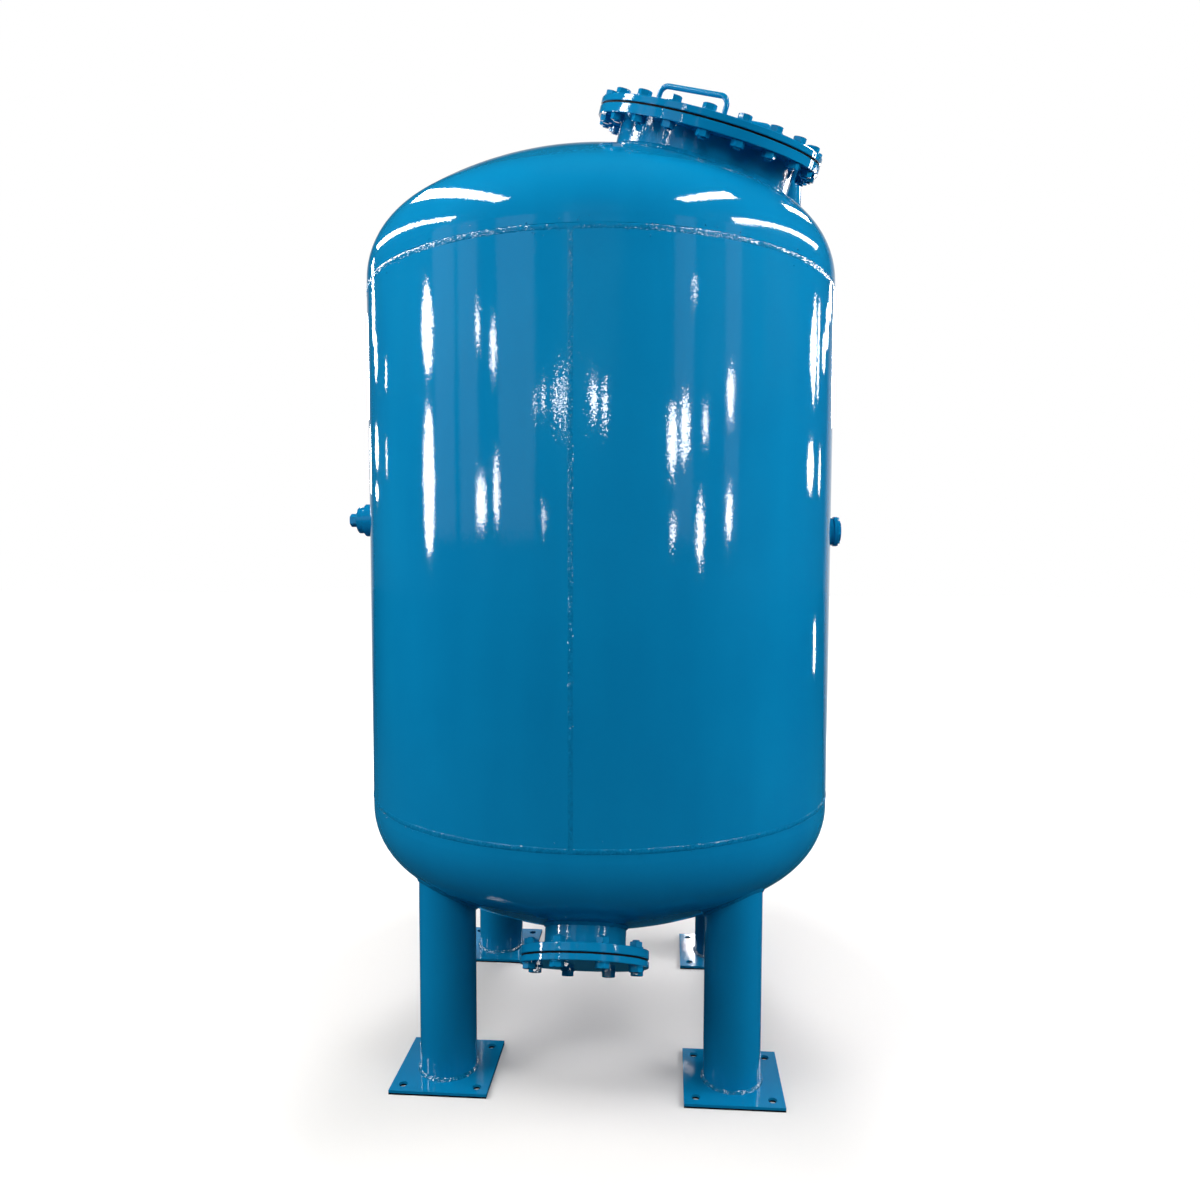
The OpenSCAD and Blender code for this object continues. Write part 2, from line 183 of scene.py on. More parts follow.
CLOUDS_PER_METRE = 2.4
GUN_PASSES_PER_METRE = (9, 9, 1.1)
CLOUD_SHARE = 0.6
SHADE_STOPS = ((0.36, 0), (0.64, 1))
FLECKS_PER_METRE = 140
FLECK_STOPS = ((0.66, 0), (0.74, 1))
FLECK_SHARE = 0.25
# Ragged top edge of that painted contact shadow
CONTACT_SHADE_PER_METRE = 60
CONTACT_SHADE_RAGGED = 1 * MM

HAZE_PER_METRE = 6
ROUGHNESS = 0.028
HAZE_ROUGHNESS = 0.035
FLECK_ROUGHNESS = 0.03

PEEL_PER_METRE = 230
PEEL_TILT = 0.055
SEAM_SPRAY = 60 * MM
SEAM_COARSE = 1.2
FACETS_PER_METRE = 200
SWELLS_PER_METRE = 38
SWELL_DEPTH = 0.05 * MM
NIBS_PER_METRE = 10
NIB_REACH = 0.022
NIB_HEIGHT = 0.30 * MM
ROLLED_WAVES_PER_METRE = (6.5, 6.5, 1.3)
DENTS_PER_METRE = 4.2
DENT_SHARE = 0.5
PLATE_WAVE_DEPTH = 0.55 * MM


def enamel_colour(recipe, place, flecks, lit_share, foot):
    """Blue that changes slowly with the passes of the spray gun, with paler flecks, darker where painted
    shade is asked for, and painted black along the foot as a contact shadow.
    """
    clouds = recipe.grain(place, CLOUDS_PER_METRE, detail=3, roughness=0.55)
    passes = recipe.grain(place, GUN_PASSES_PER_METRE, detail=2, roughness=0.5)
    shade = recipe.ramp(clouds * CLOUD_SHARE + passes * (1 - CLOUD_SHARE), *SHADE_STOPS)
    colour = recipe.mix(shade, ENAMEL_DEEP, ENAMEL)
    colour = recipe.mix(flecks * FLECK_SHARE, colour, ENAMEL_THIN)
    # Painted shade: parts that lie in shade get a darker copy of the same enamel, mixed towards black
    if lit_share < 1:
        colour = recipe.mix(1 - lit_share, colour, BLACK)
    # Painted shadow: near black up to the foot height, with a ragged top, in place of the contact shadow
    # where the plate meets the floor
    if foot:
        ragged = recipe.grain(place, CONTACT_SHADE_PER_METRE, detail=3, roughness=0.6) * (CONTACT_SHADE_RAGGED * 2)
        height = recipe.part(place, "Z") + ragged - CONTACT_SHADE_RAGGED
        colour = recipe.mix(height > foot, CONTACT_SHADE, colour)
    return colour


def enamel_facing(recipe, place, coarse, seam, lumps):
    """The way the paint faces, tilted by its orange peel and by the small facets of a bead below it."""
    facing = recipe.node("NewGeometry", output="Normal")
    peel = recipe.node("TexNoise", {}, {"Vector": place, "Scale": PEEL_PER_METRE, "Detail": 1.0}, "Color")
    peel_tilt = PEEL_TILT * coarse
    if seam is not None:
        beside = recipe.ramp(abs(recipe.part(place, "X") - seam), (SEAM_SPRAY / 3, 1), (SEAM_SPRAY, 0))
        peel_tilt = peel_tilt * (1 + beside * SEAM_COARSE)
    facing = recipe.tilted(facing, peel, peel_tilt)
    if lumps:
        facets = recipe.node("TexVoronoi", {}, {"Vector": place, "Scale": FACETS_PER_METRE}, "Color")
        facing = recipe.tilted(facing, facets, lumps)
    return facing


def enamel_relief(recipe, place, swell, wave):
    """The height of the surface: slow swells of the paint, dust nibs, and the waves of a rolled plate."""
    relief = recipe.grain(place, SWELLS_PER_METRE, detail=1, roughness=0.4) * (SWELL_DEPTH * swell)
    nearest = recipe.node("TexVoronoi", {}, {"Vector": place, "Scale": NIBS_PER_METRE}, "Distance")
    relief = relief + recipe.ramp(nearest, (0, 1), (NIB_REACH, 0)) * NIB_HEIGHT
    if wave:
        rolled = recipe.grain(place, ROLLED_WAVES_PER_METRE, detail=1, roughness=0.4)
        dents = recipe.grain(place, DENTS_PER_METRE, detail=1, roughness=0.4)
        relief = relief + (rolled + dents * DENT_SHARE) * (PLATE_WAVE_DEPTH * wave)
    return relief


def gloss_enamel(name, wave=0.0, lumps=0.0, swell=1.0, seam=None, coarse=1.0, lit_share=1.0, foot=0.0):
    """Sprayed gloss enamel. wave is the rolled plate's own unevenness, lumps the tilt of a bead's facets,
    swell the depth of the paint's slow swells, seam the place on X of a weld with coarser peel beside it,
    coarse the strength of the peel, tone the share of full colour left by painted shade, and foot the height
    up to which it's painted black as a contact shadow."""
    recipe = Recipe(bpy.data.materials.new(name))
    place = recipe.place()
    flecks = recipe.grain(place, FLECKS_PER_METRE, detail=2, roughness=0.6)
    flecks = recipe.ramp(flecks, *FLECK_STOPS)
    haze = recipe.grain(place, HAZE_PER_METRE, detail=4, roughness=0.6)
    relief = enamel_relief(recipe, place, swell, wave)
    facing = enamel_facing(recipe, place, coarse, seam, lumps)
    sockets = {
        "Base Color": enamel_colour(recipe, place, flecks, lit_share, foot),
        "Roughness": ROUGHNESS + haze * HAZE_ROUGHNESS + flecks * FLECK_ROUGHNESS,
        "Normal": recipe.bumped(relief, facing),
        "IOR": ENAMEL_IOR,
    }
    recipe.node("OutputMaterial", {}, {"Surface": recipe.node("BsdfPrincipled", {}, sockets)})
    return recipe.owner


# ---- Gasket rubber ----

RUBBER = (0.004, 0.004, 0.005, 1)
RUBBER_DUSTY = (0.012, 0.012, 0.014, 1)
RUBBER_ROUGHNESS = 0.6
DUST_ROUGHNESS = 0.2
RUBBER_SHEEN = 0.05
DUST_PER_METRE = 60
DUST_STOPS = ((0.45, 0), (0.75, 1))
SKIN_PER_METRE = 700
SKIN_DEPTH = 0.05 * MM


def sheet_rubber(name):
    """Matt black gasket rubber with a little dust in it."""
    recipe = Recipe(bpy.data.materials.new(name))
    place = recipe.place()
    dust = recipe.ramp(recipe.grain(place, DUST_PER_METRE, detail=4, roughness=0.65), *DUST_STOPS)
    relief = recipe.grain(place, SKIN_PER_METRE, detail=3, roughness=0.6) * SKIN_DEPTH
    sockets = {
        "Base Color": recipe.mix(dust, RUBBER, RUBBER_DUSTY),
        "Roughness": RUBBER_ROUGHNESS + dust * DUST_ROUGHNESS,
        "Normal": recipe.bumped(relief),
        "Specular IOR Level": RUBBER_SHEEN,
    }
    recipe.node("OutputMaterial", {}, {"Surface": recipe.node("BsdfPrincipled", {}, sockets)})
    return recipe.owner


# ---- Finishes of the steelwork ----

seam_low, seam_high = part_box("shell_seam_weld")
seam_middle = (seam_low + seam_high) / 2

plate_enamel = gloss_enamel("plate_enamel", wave=1.0, seam=seam_middle.x)
head_enamel = gloss_enamel("head_enamel", wave=0.35)
pipe_enamel = gloss_enamel("pipe_enamel", wave=0.15)
# The fittings, necks and beads below are darker copies of the same enamel, as painted shade
fitting_enamel = gloss_enamel("fitting_enamel", swell=0.7, lit_share=0.93)
# The base plates get a painted contact shadow along their lowest 5 mm
foot_enamel = gloss_enamel("foot_enamel", swell=0.7, foot=5 * MM)
bead_enamel = gloss_enamel("bead_enamel", lumps=0.32, lit_share=0.88)
foot_bead_enamel = gloss_enamel("foot_bead_enamel", lumps=0.8, lit_share=0.75)
neck_enamel = gloss_enamel("neck_enamel", coarse=2.6, lit_share=0.93)
gasket_rubber = sheet_rubber("gasket_rubber")


def finish_nodes(material, *names):
    for name in names:
        for slot in nodes[name].material_slots:
            slot.material = material


finish_nodes(plate_enamel, "shell")
finish_nodes(head_enamel, "top_head", "bottom_head")
finish_nodes(neck_enamel, "manway_neck", "nozzle_neck")
finish_nodes(pipe_enamel, "post", *(corner + "_leg" for corner in CORNERS))
finish_nodes(fitting_enamel, "manway_flange", "manway_cover", "nozzle_flange", "nozzle_cover")
finish_nodes(fitting_enamel, "front_cover_handle", "rear_cover_handle", "post_cap")
finish_nodes(fitting_enamel, "left_port_boss", "left_port_cap", "left_port_plug")
finish_nodes(fitting_enamel, "right_port_boss", "right_port_cap", "right_port_plug")
finish_nodes(foot_enamel, *(corner + "_base_plate" for corner in CORNERS))
finish_nodes(gasket_rubber, "manway_gasket", "nozzle_gasket")


# ---- Measuring the steelwork and making pieces ----


def square_to(axis):
    """Two directions square to each other and to an axis, which mustn't lie along Y."""
    side = Vector((0, 1, 0)).cross(axis).normalized()
    return side, axis.cross(side).normalized()


def reach_along(name, point, axis):
    """The lowest and highest distance of a node from a point, measured along an axis."""
    distances = [(vertex.co - point).dot(axis) for vertex in nodes[name].data.vertices]
    return min(distances), max(distances)


def outside_radius(name, point, axis):
    """The outside radius of a pipe node about an axis through a point."""
    offsets = [vertex.co - point for vertex in nodes[name].data.vertices]
    return max((offset - axis * offset.dot(axis)).length for offset in offsets)


def surface_of(name):
    data = nodes[name].data
    corners = [vertex.co for vertex in data.vertices]
    return BVHTree.FromPolygons(corners, [list(face.vertices) for face in data.polygons])


def bolt_circle(mount_name):
    """Centre, axis, radius and number of bolts of a mount."""
    mount = mounts[mount_name]
    axis = Vector(mount["axis"]).normalized()
    return Vector(mount["pos_m"]), axis, mount["dims"]["pcd_mm"] * MM / 2, mount["dims"]["count"]


def make_piece(name, mesh, material, slot, crease_degrees, *stands_for):
    """Turns a bmesh into a closed piece that rides on the vessel. Edges sharper than the crease stay hard."""
    bmesh.ops.remove_doubles(mesh, verts=mesh.verts, dist=MERGE_REACH)
    bmesh.ops.holes_fill(mesh, edges=mesh.edges, sides=0)
    bmesh.ops.recalc_face_normals(mesh, faces=mesh.faces)
    for face in mesh.faces:
        face.smooth = True
    for edge in mesh.edges:
        edge.smooth = edge.calc_face_angle(0) <= math.radians(crease_degrees)
    data = bpy.data.meshes.new(name)
    mesh.to_mesh(data)
    mesh.free()
    piece = bpy.data.objects.new(name, data)
    bpy.context.scene.collection.objects.link(piece)
    data.materials.append(material)
    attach(piece, "root")
    if stands_for:
        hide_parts(*stands_for)


shell_low, shell_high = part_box("shell")
shell_radius = (shell_high.x + shell_high.y) / 2
manway_face, manway_axis, manway_ring, manway_count = bolt_circle("manway_bolts")
nozzle_face, nozzle_axis, nozzle_ring, nozzle_count = bolt_circle("nozzle_bolts")
manway_neck_radius = outside_radius("manway_neck", manway_face, manway_axis)
nozzle_neck_radius = outside_radius("nozzle_neck", nozzle_face, nozzle_axis)


# ---- Weld beads ----

BEAD_CORNERS = 12
BEAD_FACE_CORNERS = 9
BACK_MIDDLE = (BEAD_CORNERS - 2) / (BEAD_FACE_CORNERS - 1)
BEAD_CREASE = 80

RIPPLE_PITCH = 8 * MM
STEPS_PER_RIPPLE = 4
WANDERS_PER_METRE = 14
WANDER_STROKES = 1.4
CRESCENT_STROKES = 0.55
RIPPLE_SHARPNESS = 1.5


def bead(weld, length, point_at, closed, paint=bead_enamel):
    """A rippled bead of that length in place of a plain weld. point_at(run, across) gives a point of its
    face, run and across from 0 to 1. across beyond 1 asks for the back, which lies buried in the steel."""
    steps = STEPS_PER_RIPPLE * round(length / RIPPLE_PITCH)
    mesh = bmesh.new()
    bmesh.ops.create_grid(mesh, x_segments=steps, y_segments=BEAD_CORNERS, size=0.5)
    for vertex in mesh.verts:
        step = round((vertex.co.x + 0.5) * steps)
        corner = round((vertex.co.y + 0.5) * BEAD_CORNERS) % BEAD_CORNERS
        run = (step % steps if closed else step) / steps
        vertex.co = point_at(run, corner / (BEAD_FACE_CORNERS - 1))
    make_piece(weld + "_bead", mesh, paint, "weld_paint", BEAD_CREASE, weld)


def ripple(run_length, across, seed):
    """How far the bead's face lies below its crown, from 0 to 1: a crescent for each stroke of the arc."""
    wander = noise.noise(Vector((run_length * WANDERS_PER_METRE, seed, 0))) * WANDER_STROKES
    stroke = run_length / RIPPLE_PITCH + wander - CRESCENT_STROKES * math.sin(across * math.pi)
    phase = stroke - math.floor(stroke)
    return (1 - phase) ** RIPPLE_SHARPNESS


# ---- Butt welds of the plates ----

CAP_HALF = 7.4 * MM
CAP_HEIGHT = 1.3 * MM
CAP_FULLNESS = 0.55
CAP_WIDTH_MEAN = 0.96
CAP_WIDTH_SWING = 0.10
CAP_RIPPLE = 0.42
CAP_DRIFT = 0.8 * MM
CAP_DIP = 0.25 * MM
CAP_SINK = 0.12 * MM
BURIED_DEPTH = 2 * MM
BURIED_WIDTH = 24 * MM
GIRTH_WOBBLES_PER_RADIUS = 9
GIRTH_SWELLS_PER_RADIUS = 23
GIRTH_SWELL_SEED = 5
SEAM_WOBBLES_PER_METRE = 9
SEAM_SWELLS_PER_METRE = 22


def cap_profile(across, run_length, seed, wobble, swell):
    """How far a point of the bead lies to the side of its middle, and out from the plate."""
    if across > 1:
        return (BACK_MIDDLE - across) * BURIED_WIDTH, -BURIED_DEPTH
    half = CAP_HALF * (CAP_WIDTH_MEAN + CAP_WIDTH_SWING * swell)
    crown = CAP_HEIGHT * math.sin(across * math.pi) ** CAP_FULLNESS
    rise = crown * (1 - CAP_RIPPLE * ripple(run_length, across, seed)) - CAP_DIP * abs(wobble)
    return (2 * across - 1) * half + wobble * CAP_DRIFT, rise - CAP_SINK


def girth_bead(weld, height, seed):
    length = 2 * math.pi * shell_radius

    def point_at(run, across):
        turn = run * 2 * math.pi
        around = Vector((math.cos(turn), math.sin(turn), 0))
        wobble = noise.noise(around * GIRTH_WOBBLES_PER_RADIUS + UP * seed)
        swell = noise.noise(around * GIRTH_SWELLS_PER_RADIUS + UP * (seed + GIRTH_SWELL_SEED))
        side, rise = cap_profile(across, run * length, seed, wobble, swell)
        return around * (shell_radius + rise) + UP * (height + side)

    bead(weld, length, point_at, closed=True)


def seam_bead(weld, wobble_seed, swell_seed, ripple_seed):
    outward = Vector((seam_middle.x, seam_middle.y, 0)).normalized()
    sideways = UP.cross(outward)
    length = seam_high.z - seam_low.z

    def point_at(run, across):
        height = seam_low.z + run * length
        wobble = noise.noise(Vector((height * SEAM_WOBBLES_PER_METRE, wobble_seed, 0)))
        swell = noise.noise(Vector((height * SEAM_SWELLS_PER_METRE, swell_seed, 0)))
        side, rise = cap_profile(across, run * length, ripple_seed, wobble, swell)
        turn = side / shell_radius
        around = outward * math.cos(turn) + sideways * math.sin(turn)
        return around * (shell_radius + rise) + UP * height

    bead(weld, length, point_at, closed=False)


girth_bead("upper_girth_weld", shell_high.z, seed=1.7)
girth_bead("lower_girth_weld", shell_low.z, seed=8.3)
seam_bead("shell_seam_weld", wobble_seed=3.1, swell_seed=6.2, ripple_seed=4.4)


# ---- Fillet welds of the pipes ----

FILLET_LEG = 8 * MM
FILLET_MEAN = 0.90
FILLET_SWING = 0.09
FILLET_RIPPLE = 0.20
FILLET_HOLLOW = 1.35
FILLET_WOBBLES_PER_RADIUS = 6
NEAR_PIPE = 1.5 * MM
BEYOND_BEAD = 8 * MM
BACK_DEPTH = 1.5 * MM
BACK_SHALLOWS = 0.45 * MM
CLEAR_OF_PLATE = 150 * MM
FOOT_SEED = 11
HEAD_SEED = 21


def fillet_bead(weld, surface_node, foot, axis, pipe_radius, seed, paint=bead_enamel):
    """A bead in the corner between a pipe and the surface that it stands on. axis points along the pipe, away
    from that surface, and foot is a point on the pipe's axis clear of the surface."""
    surface = surface_of(surface_node)
    side, other = square_to(axis)
    length = 2 * math.pi * pipe_radius

    def on_surface(around, radius):
        return surface.ray_cast(foot + around * radius, -axis)[0]

    def point_at(run, across):
        turn = run * 2 * math.pi
        around = side * math.cos(turn) + other * math.sin(turn)
        near = on_surface(around, pipe_radius + NEAR_PIPE)
        far = on_surface(around, pipe_radius + BEYOND_BEAD)
        along = (far - near).normalized()
        root = near - (far - near) * (NEAR_PIPE / (BEYOND_BEAD - NEAR_PIPE))
        if across > 1:
            # The back's three corners: below the surface, deep in the corner and inside the pipe's wall
            spread = (BACK_MIDDLE - across) * (BEAD_FACE_CORNERS - 1)
            buried = root - (axis + around) * (BACK_DEPTH - BACK_SHALLOWS * abs(spread))
            return buried + (along if spread > 0 else axis) * abs(spread) * FILLET_LEG / 2
        wobble = noise.noise(around * FILLET_WOBBLES_PER_RADIUS + UP * seed)
        leg = FILLET_LEG * (FILLET_MEAN + FILLET_SWING * wobble)
        leg *= 1 - FILLET_RIPPLE * ripple(run * length, across, seed) * math.sin(across * math.pi)
        up = leg * math.cos(across * math.pi / 2) ** FILLET_HOLLOW
        out = leg * math.sin(across * math.pi / 2) ** FILLET_HOLLOW
        return root + axis * up + along * out

    bead(weld, length, point_at, closed=True, paint=paint)


def leg_beads(corner, index):
    low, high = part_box(corner + "_leg")
    radius = (high.x - low.x) / 2
    between = Vector(((low.x + high.x) / 2, (low.y + high.y) / 2, low.z + CLEAR_OF_PLATE))
    foot_weld, head_weld, plate = corner + "_foot_weld", corner + "_head_weld", corner + "_base_plate"
    fillet_bead(foot_weld, plate, between, UP, radius, FOOT_SEED + index, foot_bead_enamel)
    fillet_bead(head_weld, "bottom_head", between, -UP, radius, HEAD_SEED + index)


def post_bead():
    low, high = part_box("post")
    top = Vector(((low.x + high.x) / 2, (low.y + high.y) / 2, high.z))
    fillet_bead("post_weld", "top_head", top, UP, (high.x - low.x) / 2, seed=31)


fillet_bead("manway_neck_weld", "top_head", manway_face, manway_axis, manway_neck_radius, seed=2.9)
fillet_bead("nozzle_neck_weld", "bottom_head", nozzle_face, nozzle_axis, nozzle_neck_radius, seed=5.3)
for index, corner in enumerate(CORNERS):
    leg_beads(corner, index)
post_bead()


# ---- Bolts: M20, with heads, nuts and washers a little wider than usual ----

BOLT_CREASE = 32
HEX_FLATS = 32 * MM
BOLT_HEAD_HEIGHT = 13 * MM
NUT_HEIGHT = 16 * MM
HEX_FOOT = 0.96
HEX_CROWN = 0.93
CHAMFER_START = 0.97
CHAMFER_SLOPE = math.tan(math.radians(30))
SEAT_EASING = 0.2 * MM
BOLT_SIDES = 36

WASHER_RADIUS = 19.5 * MM
WASHER_BORE_RADIUS = 10.5 * MM
WASHER_THICKNESS = 3 * MM
WASHER_EDGE = 0.4 * MM
WASHER_SIDES = 24

THREAD_RADIUS = 10 * MM
THREAD_PITCH = 2.5 * MM
THREAD_DEPTH = 1.3 * MM
CREST_STARTS = 0.45 * THREAD_PITCH
CREST_ENDS = 0.60 * THREAD_PITCH
THREAD_IN_NUT = 2 * MM
THREAD_OUT = (3 * MM, 5 * MM)
THREAD_SIDES = 18
TIP_HEIGHT = 1.2 * MM
TIP_SHOULDER = 0.4 * MM
TIP_CHAMFER = 1.6 * MM


def level(radius, height):
    return lambda turn: (radius, height)


def ring_stack(sides, rings):
    """A body built up ring by ring. Each ring is a function of the turn that gives a radius and a height."""
    mesh = bmesh.new()
    bmesh.ops.create_circle(mesh, segments=sides, radius=1)
    edges = mesh.edges[:]
    corners = mesh.verts[:]
    for index, ring in enumerate(rings):
        if index:
            grown = bmesh.ops.extrude_edge_only(mesh, edges=edges)["geom"]
            corners = [part for part in grown if isinstance(part, bmesh.types.BMVert)]
            edges = [part for part in grown if isinstance(part, bmesh.types.BMEdge)]
        for corner in corners:
            turn = math.atan2(corner.co.y, corner.co.x)
            radius, height = ring(turn)
            corner.co = Vector((math.cos(turn) * radius, math.sin(turn) * radius, height))
    return mesh


def hexagon(turn):
    """Radius of a unit hexagon, one unit from its centre to each flat."""
    return 1 / math.cos((turn + math.pi / 6) % (math.pi / 3) - math.pi / 6)


def hex_rings(bottom, top, chamfer_bottom=False, flats=HEX_FLATS):
    """Rings of a hexagon head or nut. Its corners are turned off to a cone at the top, and below if asked."""
    face = flats / 2

    def corner_drop(turn):
        return (hexagon(turn) - CHAMFER_START) * face * CHAMFER_SLOPE

    return [
        level(face * HEX_FOOT, bottom),
        lambda turn: (face * hexagon(turn), bottom + (corner_drop(turn) if chamfer_bottom else SEAT_EASING)),
        lambda turn: (face * hexagon(turn), top - corner_drop(turn)),
        level(face * HEX_CROWN, top),
    ]


def thread_rings(low, high):
    """Rings of a threaded end with a chamfered tip."""
    rings = [level(THREAD_RADIUS - THREAD_DEPTH, low)]
    height = low
    while height + THREAD_PITCH < high - 1 * MM:
        rings.append(level(THREAD_RADIUS, height + CREST_STARTS))
        rings.append(level(THREAD_RADIUS, height + CREST_ENDS))
        rings.append(level(THREAD_RADIUS - THREAD_DEPTH, height + THREAD_PITCH))
        height += THREAD_PITCH
    rings.append(level(THREAD_RADIUS - TIP_SHOULDER, high - TIP_HEIGHT))
    rings.append(level(THREAD_RADIUS - TIP_CHAMFER, high))
    return rings


def washer_rings(low):
    high = low + WASHER_THICKNESS
    return [
        level(WASHER_BORE_RADIUS, low),
        level(WASHER_RADIUS - WASHER_EDGE, low),
        level(WASHER_RADIUS, low + WASHER_EDGE),
        level(WASHER_RADIUS, high - WASHER_EDGE),
        level(WASHER_RADIUS - WASHER_EDGE, high),
        level(WASHER_BORE_RADIUS, high),
        level(WASHER_BORE_RADIUS, low),
    ]


def add_body(target, body, matrix):
    """Moves a body into place in a mesh that gathers many."""
    bmesh.ops.transform(body, matrix=matrix, verts=body.verts)
    data = bpy.data.meshes.new("body")
    body.to_mesh(data)
    body.free()
    target.from_mesh(data)
    bpy.data.meshes.remove(data)


def stands_round(centre, axis, ring, count, first_turn):
    """A matrix for each place round a circle that stands a body up there along the axis."""
    side, other = square_to(axis)
    for index in range(count):
        turn = math.radians(first_turn + index * 360 / count)
        upright = Matrix((side, other, axis)).transposed().to_4x4()
        upright.translation = centre + (side * math.cos(turn) + other * math.sin(turn)) * ring
        yield upright


def any_spin():
    """A hexagon left at whatever turn the spanner stopped."""
    return Matrix.Rotation(dice.uniform(0, math.pi / 3), 4, "Z")


def bolt_set(name, face, axis, ring, count, first_turn):
    """Every bolt of a flange: head and washer on the cover, plain nut and threaded end behind the flange."""
    washer_seat = reach_along(name + "_cover", face, axis)[1]
    head_seat = washer_seat + WASHER_THICKNESS
    nut_seat = -reach_along(name + "_flange", face, axis)[0]
    nut_top = nut_seat + NUT_HEIGHT
    bolts = bmesh.new()
    washers = bmesh.new()
    for upright in stands_round(face, axis, ring, count, first_turn):
        spin_head = any_spin()
        spin_nut = any_spin()
        thread_top = nut_top + dice.uniform(*THREAD_OUT)
        flipped = upright @ Matrix.Rotation(math.pi, 4, "X") @ spin_nut
        head = ring_stack(BOLT_SIDES, hex_rings(head_seat, head_seat + BOLT_HEAD_HEIGHT))
        nut = ring_stack(BOLT_SIDES, hex_rings(nut_seat, nut_top, chamfer_bottom=True))
        thread = ring_stack(THREAD_SIDES, thread_rings(nut_top - THREAD_IN_NUT, thread_top))
        add_body(bolts, head, upright @ spin_head)
        add_body(bolts, nut, flipped)
        add_body(bolts, thread, flipped)
        add_body(washers, ring_stack(WASHER_SIDES, washer_rings(washer_seat)), upright)
    make_piece(name + "_bolts_and_nuts", bolts, fitting_enamel, "fitting_paint", BOLT_CREASE)
    make_piece(name + "_washers", washers, fitting_enamel, "fitting_paint", BOLT_CREASE)


bolt_set("manway", manway_face, manway_axis, manway_ring, manway_count, first_turn=0.5)
bolt_set("nozzle", nozzle_face, nozzle_axis, nozzle_ring, nozzle_count, first_turn=67.5)


# ---- Screws of the right port's cap ----

SCREW_COUNT = 8
SCREW_FIRST_TURN = 11
SCREW_FLATS = 8 * MM
SCREW_HEAD_HEIGHT = 5 * MM
SCREW_ROOT = 0.5 * MM
SCREW_SIDES = 24


def cap_screws(name, cap, plug):
    """Small screws on the cap, halfway between its edge and the plug."""
    low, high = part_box(cap)
    plug_low, plug_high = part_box(plug)
    centre = Vector((high.x, (low.y + high.y) / 2, (low.z + high.z) / 2))
    ring = ((high.z - low.z) + (plug_high.z - plug_low.z)) / 4
    screws = bmesh.new()
    for upright in stands_round(centre, Vector((1, 0, 0)), ring, SCREW_COUNT, SCREW_FIRST_TURN):
        screw = ring_stack(SCREW_SIDES, hex_rings(-SCREW_ROOT, SCREW_HEAD_HEIGHT, flats=SCREW_FLATS))
        add_body(screws, screw, upright @ any_spin())
    make_piece(name, screws, fitting_enamel, "fitting_paint", BOLT_CREASE)


cap_screws("right_cap_screws", "right_port_cap", "right_port_plug")


# ---- Weld spatter ----

SPATTER_NEAR = 9 * MM
SPATTER_FAR = 27 * MM
SPATTER_RADIUS = (0.7 * MM, 1.8 * MM)
SPATTER_LIFT = 0.2
SPATTER_SIDES = 8
SPATTER_BANDS = 6
GIRTH_CROWDING = 2
FILLET_CROWDING = 1.5


def spatter(name, count, landing):
    """Small drops of weld metal under the paint. landing() gives a spot and the way out of the steel."""
    mesh = bmesh.new()
    for _ in range(count):
        spot, outward = landing()
        radius = dice.uniform(*SPATTER_RADIUS)
        centre = Matrix.Translation(spot + outward * radius * SPATTER_LIFT)
        bmesh.ops.create_uvsphere(
            mesh, u_segments=SPATTER_SIDES, v_segments=SPATTER_BANDS, radius=radius, matrix=centre
        )
    make_piece(name, mesh, bead_enamel, "weld_paint", BEAD_CREASE)


def flung(crowding):
    """How far a drop lands from the weld. More of them land near it as crowding grows."""
    return SPATTER_NEAR + (SPATTER_FAR - SPATTER_NEAR) * dice.random() ** crowding


def beside_girth(height):
    def landing():
        turn = dice.uniform(0, 2 * math.pi)
        outward = Vector((math.cos(turn), math.sin(turn), 0))
        aside = dice.choice((-1, 1)) * flung(GIRTH_CROWDING)
        return outward * shell_radius + UP * (height + aside), outward

    return landing


def beside_fillet(surface_node, foot, axis, pipe_radius):
    surface = surface_of(surface_node)
    side, other = square_to(axis)

    def landing():
        turn = dice.uniform(0, 2 * math.pi)
        around = side * math.cos(turn) + other * math.sin(turn)
        start = foot + around * (pipe_radius + flung(FILLET_CROWDING))
        spot, outward, _, _ = surface.ray_cast(start, -axis)
        return spot, outward

    return landing


spatter("upper_girth_spatter", 90, beside_girth(shell_high.z))
spatter("lower_girth_spatter", 60, beside_girth(shell_low.z))
spatter("manway_spatter", 80, beside_fillet("top_head", manway_face, manway_axis, manway_neck_radius))


# ---- Studio floor and sky ----

FLOOR_SIZE = 60
FLOOR_PAPER = (0.72, 0.705, 0.70, 1)
FLOOR_BOUNCE = (0.01, 0.07, 0.11, 1)
GLOW_NEAR = 0.05
GLOW_STARTS = 1.0
GLOW_FULL = 4.5
SKY = (0.12, 0.12, 0.12, 1)
HALL = (0.012, 0.034, 0.045, 1)
WHITE = (1, 1, 1, 1)
WHITE_WALL = (0.85, 0.85, 0.85, 1)
WALL_SPREAD = ((0.80, 0.0), (0.97, 1.0))
WALL_DISTANCE = 4.0
WALL_FOOT = ((0.4, 0.0), (1.0, 1.0))


